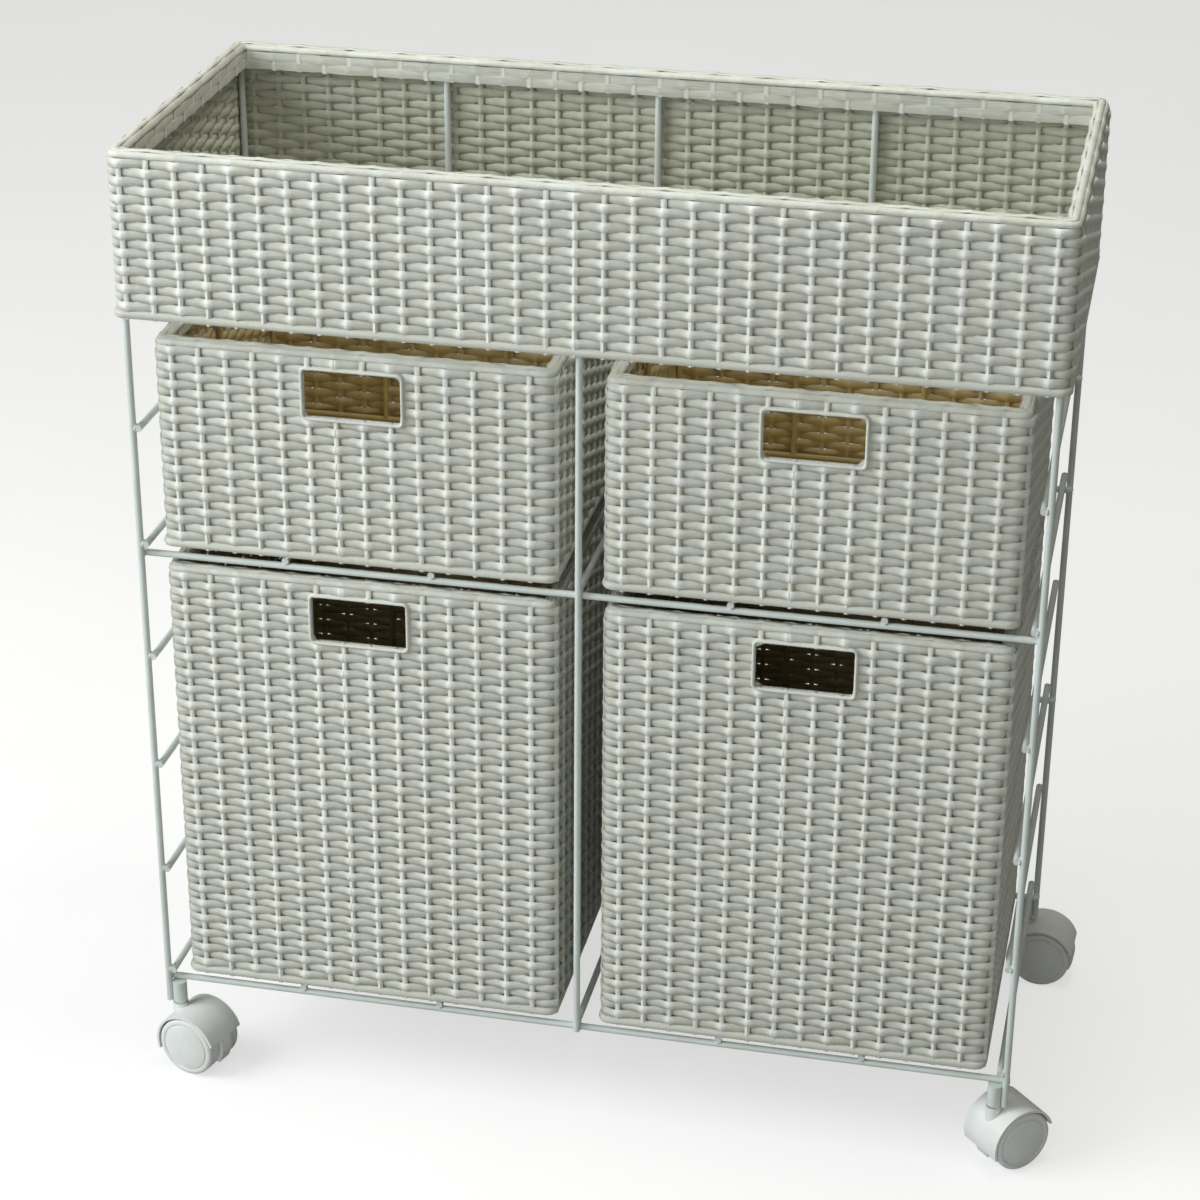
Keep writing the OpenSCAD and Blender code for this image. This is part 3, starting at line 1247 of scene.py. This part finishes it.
@dataclass
class WovenBand:
    """A woven wall round a rectangle, folded in over a rim wire, with a short hem inside."""

    name: str
    body: str
    node: str
    slot: Slot
    cells: int
    stake_at: float
    rim_wire: float
    hem_thick: float
    hem_deep: float
    hole: HandHole | None = None
    gauge: Gauge = Gauge()
    wall: float = 5.4 * MM
    outer_corner: float = 9.0 * MM
    slack: float = 0.2 * MM
    fold_swing: float = 0.6 * MM
    fold_wide: float = 5.6 * MM
    fold_steps: int = 6
    # the rows on the fold: how far round it each one lies, in degrees, and on which side of the first stake
    fold_rows: tuple[tuple[float, int], ...] = ((30, 1), (88, -1), (146, 1))
    hem_end: float = 2 * MM
    # how far the foot edging counts as standing out, which sets how much painted highlight it gets
    foot_highlight_lift: float = 0.5
    guide_points: int = 10
    row_sways: tuple[Sway, ...] = (
        Sway(Way.Z, 0.9 * MM, 60 * MM), Sway(Way.Z, 0.5 * MM, 9 * MM), Sway(Way.NORMAL, 0.3 * MM, 6 * MM),
    )
    stake_sways: tuple[Sway, ...] = (Sway(Way.X, 0.8 * MM, 40 * MM), Sway(Way.Y, 0.8 * MM, 40 * MM))
    fold_sway: Sway = Sway(Way.NORMAL, 0.5 * MM, 9 * MM)
    hem_sway: Sway = Sway(Way.Z, 0.9 * MM, 9 * MM)

    @classmethod
    def of_tray(cls) -> "WovenBand":
        """Size the tray's wall."""
        return cls("tray_band", "cart_frame", "tray_weave", Slot.TRAY, cells=94, stake_at=0.0,
                   rim_wire=5 * MM, hem_thick=3.5 * MM, hem_deep=20 * MM)

    @classmethod
    def of_drawer(cls, drawer: Drawer) -> "WovenBand":
        """Size a drawer's wall."""
        name = drawer.value
        return cls(f"{name}_band", f"{name}_drawer", f"{name}_weave", Slot.DRAWER, cells=54, stake_at=0.5,
                   rim_wire=4 * MM, hem_thick=3 * MM, hem_deep=12 * MM, hole=HandHole())

    def __post_init__(self) -> None:
        """Work out the wall's middle surface and its fold from the solid that it stands for."""
        low, high = (Vector(corner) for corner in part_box(self.node))
        self.centre = (low + high) / 2
        half = (high - low) / 2
        inset = self.wall / 2
        self.lay = RoundRectangle((self.centre.x, self.centre.y), half.x - inset, half.y - inset,
                                  self.outer_corner - inset)
        self.pitch = self.lay.length() / self.cells
        self.weave = Weave(self.gauge, self.pitch)
        self.foot, self.crown = low.z, high.z
        self.fold = (self.wall / 2 + self.rim_wire + self.slack + self.hem_thick / 2) / 2
        self.fold_z = self.crown - self.fold - self.fold_swing - self.gauge.cord_thick / 2
        self.row_count = round((self.fold_z - self.foot) / self.gauge.row)
        self.row = (self.fold_z - self.foot) / self.row_count

    def build(self, finishes: Finishes) -> None:
        """Make the wall's rows and stakes, the fold, the foot and the hem, in the place of the plain wall.

        Args:
            finishes: The cart's materials.
        """
        cords = finishes.drawer if self.hole else finishes.tray
        guide = self.lay.guide(self.cells * self.guide_points)
        over, under = self.rows(guide)
        stakes = self.stakes(guide)
        if self.hole:
            place = (self.centre.x, self.centre.y - self.lay.half_y, self.crown)
            for piece in (over, under, stakes):
                self.hole.cut(piece, place)
            binding = self.hole.binding(f"{self.name}_hole_binding", place)
            binding.fit(self.body, self.slot, finishes.edging)
        over.fit(self.body, self.slot, cords.rows, self.node)
        under.fit(self.body, self.slot, cords.rows)
        stakes.fit(self.body, self.slot, cords.stakes)
        self.rim(guide).fit(self.body, self.slot, finishes.edging)
        self.foot_border().fit(self.body, self.slot, cords.rows)
        self.hem().fit(self.body, self.slot, cords.rows)
        bpy.data.objects.remove(guide)

    def rows(self, guide: bpy.types.Object) -> list[Piece]:
        """Make the two sets of rows that take turns at being in front of a stake.

        Args:
            guide: The curve that the wall follows.

        Returns:
            The two sets.
        """
        made = []
        for index, sign in enumerate((1, -1)):
            piece = self.weave.row(f"{self.name}_rows_{'ab'[index]}", self.stake_at, sign,
                                   self.gauge.swing, self.gauge.cord_wide, self.cells // 2)
            piece.place(move=(0, 0, self.foot + (index + 1.5) * self.row))
            piece.repeat((0, 0, 2 * self.row), (self.row_count - index) // 2)
            made.append(piece.bend_round(guide).wander(*self.row_sways).smooth())
        return made

    def stakes(self, guide: bpy.types.Object) -> Piece:
        """Make the stakes, each turned in over the rim and down inside it.

        Args:
            guide: The curve that the wall follows.

        Returns:
            The stakes.
        """
        piece = self.weave.stake(f"{self.name}_stakes", self.foot, self.fold_z)
        piece.edit(Select.POINTS, lambda co: co.z > self.fold_z - CLOSE)
        bpy.ops.transform.translate(value=(0, 0, -self.row))
        bpy.ops.mesh.extrude_region_move(TRANSFORM_OT_translate={"value": (0, 0, self.row)})
        bpy.ops.transform.resize(value=(1, self.gauge.turned_in, 1), center_override=(0, 0, self.fold_z))
        middle = (0, -self.fold, self.fold_z)
        bpy.ops.mesh.spin(steps=self.fold_steps, angle=math.pi, center=middle, axis=(1, 0, 0))
        bpy.ops.mesh.extrude_region_move(TRANSFORM_OT_translate={"value": (0, 0, -self.hem_reach())})
        piece.close().heal().cap()
        piece.place(move=(self.stake_at * self.pitch, 0, 0))
        piece.repeat((self.pitch, 0, 0), self.cells)
        return piece.bend_round(guide).wander(*self.stake_sways).smooth(CUT_END)

    def hem_reach(self) -> float:
        """How far the hem hangs below the middle of the fold."""
        return self.fold_z - (self.crown - self.hem_deep)

    def rim(self, guide: bpy.types.Object) -> Piece:
        """Make the rows on the fold itself.

        Args:
            guide: The curve that the wall follows.

        Returns:
            The rows.
        """
        made = []
        for tilt, side in self.fold_rows:
            sign = side if self.row_count % 2 == 0 else -side
            angle = math.radians(tilt)
            row = self.weave.row(f"{self.name}_rim", self.stake_at, sign, self.fold_swing, self.fold_wide,
                                 self.cells // 2)
            row.place(move=(0, -self.fold * (1 - math.cos(angle)), self.fold_z + self.fold * math.sin(angle)),
                      turn=(tilt, 0, 0))
            made.append(row.bend_round(guide))
        return made[0].join(made[1:]).wander(self.fold_sway).smooth()

    def foot_border(self) -> Piece:
        """Make the wrapped edging that closes the foot of the wall.

        Returns:
            The edging.
        """
        high = self.row - self.slack
        edge = WrappedEdge(high, self.wall, highlight_lift=self.foot_highlight_lift)
        return edge.make(f"{self.name}_foot", self.lay).place(move=(0, 0, self.foot + high / 2))

    def hem(self) -> Piece:
        """Make the hem's rows, as four straight runs between the inside corners.

        Returns:
            The hem.
        """
        made = []
        half_x, half_y = self.lay.half_x - 2 * self.fold, self.lay.half_y - 2 * self.fold
        levels = max(1, round((self.hem_reach() - self.hem_end) / self.gauge.row))
        for side in range(4):
            half_run, inset = (half_y - self.hem_thick / 2, half_x) if side % 2 else (half_x, half_y)
            stake_at = (self.stake_at + self.cells / 4 * side) % 1
            units = math.ceil(half_run / (2 * self.pitch)) + 1
            for level in range(levels):
                sign = 1 if (level + side) % 2 else -1
                row = self.weave.row(f"{self.name}_hem", stake_at, sign, self.fold_swing,
                                     self.gauge.cord_wide, 2 * units)
                height = self.fold_z - (level + 0.5) * self.gauge.row
                row.place(move=(-2 * self.pitch * units, -inset, height))
                row.trim((-half_run, 0, 0), (-1, 0, 0)).trim((half_run, 0, 0), (1, 0, 0))
                row.place(turn=(0, 0, 90 * side)).place(move=(self.centre.x, self.centre.y, 0))
                made.append(row)
        return made[0].join(made[1:]).wander(self.hem_sway).smooth(CUT_END)


# ---------- the casters ----------


@dataclass(frozen=True)
class WheelShape:
    """One wheel of a twin-wheel caster, with a rounded shoulder, a mould line and a domed cap."""

    radius: float = 24 * MM
    inner_face: float = 6.3 * MM
    outer_face: float = 19 * MM
    shoulder: float = 2.4 * MM
    shoulder_steps: int = 5
    inner_shoulder: float = 2.4 * MM / 3
    inner_steps: int = 2
    line_at: float = 0.45
    line_wide: float = 0.7 * MM
    line_deep: float = 0.975
    facets: int = 64
    # each ring of the cap: how far in from the last one, and how far it rises
    cap_rings: tuple[tuple[float, float], ...] = (
        (1.4 * MM, 0.0), (0.5 * MM, -0.8 * MM), (0.9 * MM, 0.0), (0.5 * MM, 0.9 * MM), (3.5 * MM, 0.55 * MM),
        (4.5 * MM, 0.35 * MM), (4.5 * MM, 0.15 * MM),
    )

    def make(self, name: str) -> Piece:
        """Model the wheel round Z, with its outer face up and its inner face at the right height.

        Args:
            name: The piece's name.

        Returns:
            The wheel.
        """
        clear_selection()
        width = self.outer_face - self.inner_face
        bpy.ops.mesh.primitive_cylinder_add(vertices=self.facets, radius=self.radius, depth=width,
                                            location=(0, 0, self.inner_face + width / 2))
        piece = Piece(name).settle()
        top = self.outer_face - CLOSE
        piece.edit_edges(lambda a, b: a.z > top and b.z > top)
        bpy.ops.mesh.bevel(offset=self.shoulder, segments=self.shoulder_steps, affect="EDGES")
        piece.close()
        low = self.inner_face + CLOSE
        piece.edit_edges(lambda a, b: a.z < low and b.z < low)
        bpy.ops.mesh.bevel(offset=self.inner_shoulder, segments=self.inner_steps, affect="EDGES")
        piece.close()
        middle = self.inner_face + width * self.line_at
        for shift in (-1, 0, 1):
            piece.edit_all()
            bpy.ops.mesh.bisect(plane_co=(0, 0, middle + shift * self.line_wide), plane_no=(0, 0, 1))
            piece.close()
        piece.edit(Select.POINTS, lambda co: abs(co.z - middle) < CLOSE)
        bpy.ops.transform.resize(value=(self.line_deep, self.line_deep, 1), center_override=(0, 0, middle))
        piece.close()
        piece.edit(Select.FACES, lambda co: co.z > top and co.xy.length < CLOSE)
        for inwards, rise in self.cap_rings:
            bpy.ops.mesh.inset(thickness=inwards, depth=rise)
        return piece.close()


@dataclass(frozen=True)
class Caster:
    """Where one caster stands and which way it trails, in degrees."""

    corner: Corner
    turned: float
    stem_x: float = 317.2 * MM
    stem_y: float = 134.5 * MM
    trail: float = 16 * MM
    shade_to: float = 35
    wheel: WheelShape = WheelShape()

    def build(self, finishes: Finishes) -> None:
        """Make both wheels, each on its own roller and in the place of the plain one.

        Args:
            finishes: The cart's materials.
        """
        name, side_x, side_y = self.corner.value
        for letter, side in (("a", -1), ("b", 1)):
            wheel = self.wheel.make(f"{name}_wheel_{letter}_moulded")
            wheel.place(turn=(-90 * side, 0, 0)).place(move=(self.trail, 0, self.wheel.radius))
            wheel.place(turn=(0, 0, self.turned)).place(move=(side_x * self.stem_x, side_y * self.stem_y, 0))
            wheel.smooth(self.shade_to)
            wheel.fit(f"{name}_roller_{letter}", Slot.CASTER, finishes.wheel, f"{name}_wheel_{letter}")


# ---------- the welds ----------


@dataclass(frozen=True)
class Welds:
    """The small beads of metal where two wires are welded across each other."""

    post: tuple[float, float] = (325 * MM, 136 * MM)
    lap: float = 4.8 * MM
    rail_levels: tuple[float, ...] = (73 * MM, 437 * MM, 624 * MM)
    stop_levels: tuple[float, ...] = (255 * MM, 528 * MM)
    shelf_wires: int = 5
    shelf_pitch: float = 325 / 3 * MM
    rungs: int = 6
    rung_foot: float = 82 * MM
    rung_pitch: float = 91 * MM
    tray_wires: int = 13
    bead_wide: float = 3.1 * MM
    bead_thick: float = 1.5 * MM
    bead_sway: Sway = Sway(Way.NORMAL, 0.7 * MM, 2.5 * MM)

    def places(self) -> list[tuple[Point, Way]]:
        """List every crossing.

        Returns:
            Each crossing's place, and the axis on which its two wires lie over each other.
        """
        post_x, post_y = self.post
        rail_y, rung_x, half = post_y - self.lap, post_x - self.lap, self.lap / 2
        tray_level = self.rail_levels[-1]
        tray_step = 2 * rung_x / (self.tray_wires - 1)
        found: list[tuple[Point, Way]] = []
        for side in (-1, 1):
            seam_y = side * (post_y - half)
            found += [((x, seam_y, z), Way.Y) for z in self.rail_levels for x in (-post_x, 0, post_x)]
            found += [((x, seam_y, tray_level), Way.Y) for x in (-post_x / 2, post_x / 2)]
            for z in self.rail_levels[:-1]:
                found += [(((k - self.shelf_wires // 2) * self.shelf_pitch, side * rail_y, z + half), Way.Z)
                          for k in range(self.shelf_wires)]
            found += [((k * tray_step - rung_x, side * rail_y, tray_level + half), Way.Z)
                      for k in range(self.tray_wires)]
            found += [((side * (post_x - half), y, self.rung_foot + k * self.rung_pitch), Way.X)
                      for y in (-post_y, post_y) for k in range(self.rungs)]
        found += [((x, post_y - half, z), Way.Y) for z in self.stop_levels for x in (-post_x, 0, post_x)]
        return found

    def build(self, finishes: Finishes) -> None:
        """Set a bead at every crossing.

        Args:
            finishes: The cart's materials.
        """
        clear_selection()
        bpy.ops.mesh.primitive_ico_sphere_add(subdivisions=2, radius=1.0)
        bead = Piece("bead").settle()
        bead.edit_all()
        flat = (self.bead_wide, self.bead_wide, self.bead_thick)
        bpy.ops.transform.resize(value=flat, center_override=(0, 0, 0))
        bead.close().wander(self.bead_sway)
        turns = {Way.X: (0, 90, 0), Way.Y: (90, 0, 0), Way.Z: (0, 0, 0)}
        made = []
        for index, (place, way) in enumerate(self.places()):
            made.append(bead.copy(f"bead_{index}").place(move=place, turn=turns[way]))
        bpy.data.objects.remove(bead.thing)
        welds = made[0].join(made[1:]).smooth()
        welds.thing.name = "weld_beads"
        welds.fit("cart_frame", Slot.FRAME, finishes.wire)


# ---------- the studio ----------


@dataclass(frozen=True)
class Lamp:
    """A square soft lamp that faces the cart's middle."""

    name: str
    place: Point
    size: float
    watts: float
    colour: Colour
    aim: Point = (0, 0, 0.4)

    def hang(self) -> None:
        """Hang the lamp."""
        data = bpy.data.lights.new(self.name, "AREA")
        data.shape = "SQUARE"
        data.size = self.size
        data.energy = self.watts
        data.color = self.colour
        lamp = bpy.data.objects.new(self.name, data)
        bpy.context.scene.collection.objects.link(lamp)
        lamp.location = self.place
        lamp.rotation_euler = (Vector(self.aim) - Vector(self.place)).to_track_quat("-Z", "Y").to_euler()


@dataclass(frozen=True)
class Studio:
    """The floor, the lights and the camera.

    The floor and the surround look whiter to the camera than to the cart, so that they don't light it up.
    """

    camera_place: Point = (0.4110, -2.0075, 1.3708)
    camera_turn: float = 11.928
    camera_tilt: float = 26.017
    camera_roll: float = -0.433
    lens_mm: float = 90.56
    sensor_mm: float = 36.0
    sight: tuple[float, float] = (0.05, 60.0)
    floor_half: float = 14.0
    floor_tones: tuple[Colour, Colour] = ((0.40, 0.40, 0.40), (0.43, 0.43, 0.43))
    floor_patches: Cloud = Cloud(3, 3, 0.2, 0.8)
    floor_roughness: float = 0.9
    floor_glow: float = 0.62
    surround: Colour = (0.178, 0.174, 0.152)
    surround_seen: Colour = (0.84, 0.84, 0.84)
    lamps: tuple[Lamp, ...] = (
        Lamp("key_lamp", (-1.92, -1.02, 1.65), 1.6, 54, (0.96, 1.0, 1.0)),
        Lamp("fill_lamp", (-0.5, -3.4, 1.5), 2.4, 30, (0.96, 1.0, 1.0)),
        Lamp("top_lamp", (0.27, 0.0, 2.1), 0.6, 12, (1.0, 0.98, 0.90)),
    )

    def build(self) -> None:
        """Set up the whole studio."""
        self.floor()
        self.lights()
        self.camera()
        view = bpy.context.scene.view_settings
        view.view_transform = "Standard"
        view.look = "None"

    def floor(self) -> None:
        """Lay a plain pale floor."""
        clear_selection()
        bpy.ops.mesh.primitive_plane_add(size=2 * self.floor_half)
        floor = Piece("studio_floor").thing
        material, graph, shader = new_material("studio_floor")
        patches = graph.cloud(graph.place(), self.floor_patches)
        graph.wire(graph.blend(patches, *self.floor_tones), shader.inputs["Base Color"])
        shader.inputs["Roughness"].default_value = self.floor_roughness
        shader.inputs["Emission Color"].default_value = (1, 1, 1, 1)
        seen = graph.add("ShaderNodeLightPath").outputs["Is Camera Ray"]
        graph.wire(graph.times(seen, self.floor_glow), shader.inputs["Emission Strength"])
        floor.data.materials.append(material)

    def lights(self) -> None:
        """Hang the key lamp at the front left, a faint fill and a small top lamp, in an even surround."""
        for lamp in self.lamps:
            lamp.hang()
        world = bpy.data.worlds.new("surround")
        world.use_nodes = True
        graph = Graph(world.node_tree)
        seen = graph.add("ShaderNodeLightPath").outputs["Is Camera Ray"]
        tone = graph.blend(seen, self.surround, self.surround_seen)
        graph.wire(tone, world.node_tree.nodes["Background"].inputs["Color"])
        bpy.context.scene.world = world

    def camera(self) -> None:
        """Stand the camera and aim it."""
        turn, tilt, roll = (math.radians(a) for a in (self.camera_turn, self.camera_tilt, self.camera_roll))
        ahead = Vector((-math.sin(turn) * math.cos(tilt), math.cos(turn) * math.cos(tilt), -math.sin(tilt)))
        right = Vector((math.cos(turn), math.sin(turn), 0))
        down = ahead.cross(right)
        across = math.cos(roll) * right + math.sin(roll) * down
        below = math.cos(roll) * down - math.sin(roll) * right
        data = bpy.data.cameras.new("camera")
        data.lens = self.lens_mm
        data.sensor_width = self.sensor_mm
        data.clip_start, data.clip_end = self.sight
        camera = bpy.data.objects.new("camera", data)
        bpy.context.scene.collection.objects.link(camera)
        pose = Matrix((across, -below, -ahead)).transposed().to_4x4()
        camera.matrix_world = Matrix.Translation(self.camera_place) @ pose
        bpy.context.scene.camera = camera


# ---------- the whole cart ----------


def main() -> None:
    """Build the cart's looks, one class after the other."""
    logging.basicConfig(level=logging.INFO, format="%(name)s: %(message)s")
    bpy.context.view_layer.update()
    Studio().build()
    finishes = Finishes()
    finishes.dress(frame["nodes"])
    WovenBand.of_tray().build(finishes)
    for drawer in Drawer:
        WovenBand.of_drawer(drawer).build(finishes)
        WovenFloor(drawer).build(finishes)
    Caster(Corner.FRONT_LEFT, turned=-17).build(finishes)
    Caster(Corner.FRONT_RIGHT, turned=43).build(finishes)
    Caster(Corner.REAR_RIGHT, turned=-3).build(finishes)
    Caster(Corner.REAR_LEFT, turned=160).build(finishes)
    Welds().build(finishes)


if __name__ == "__main__":
    main()
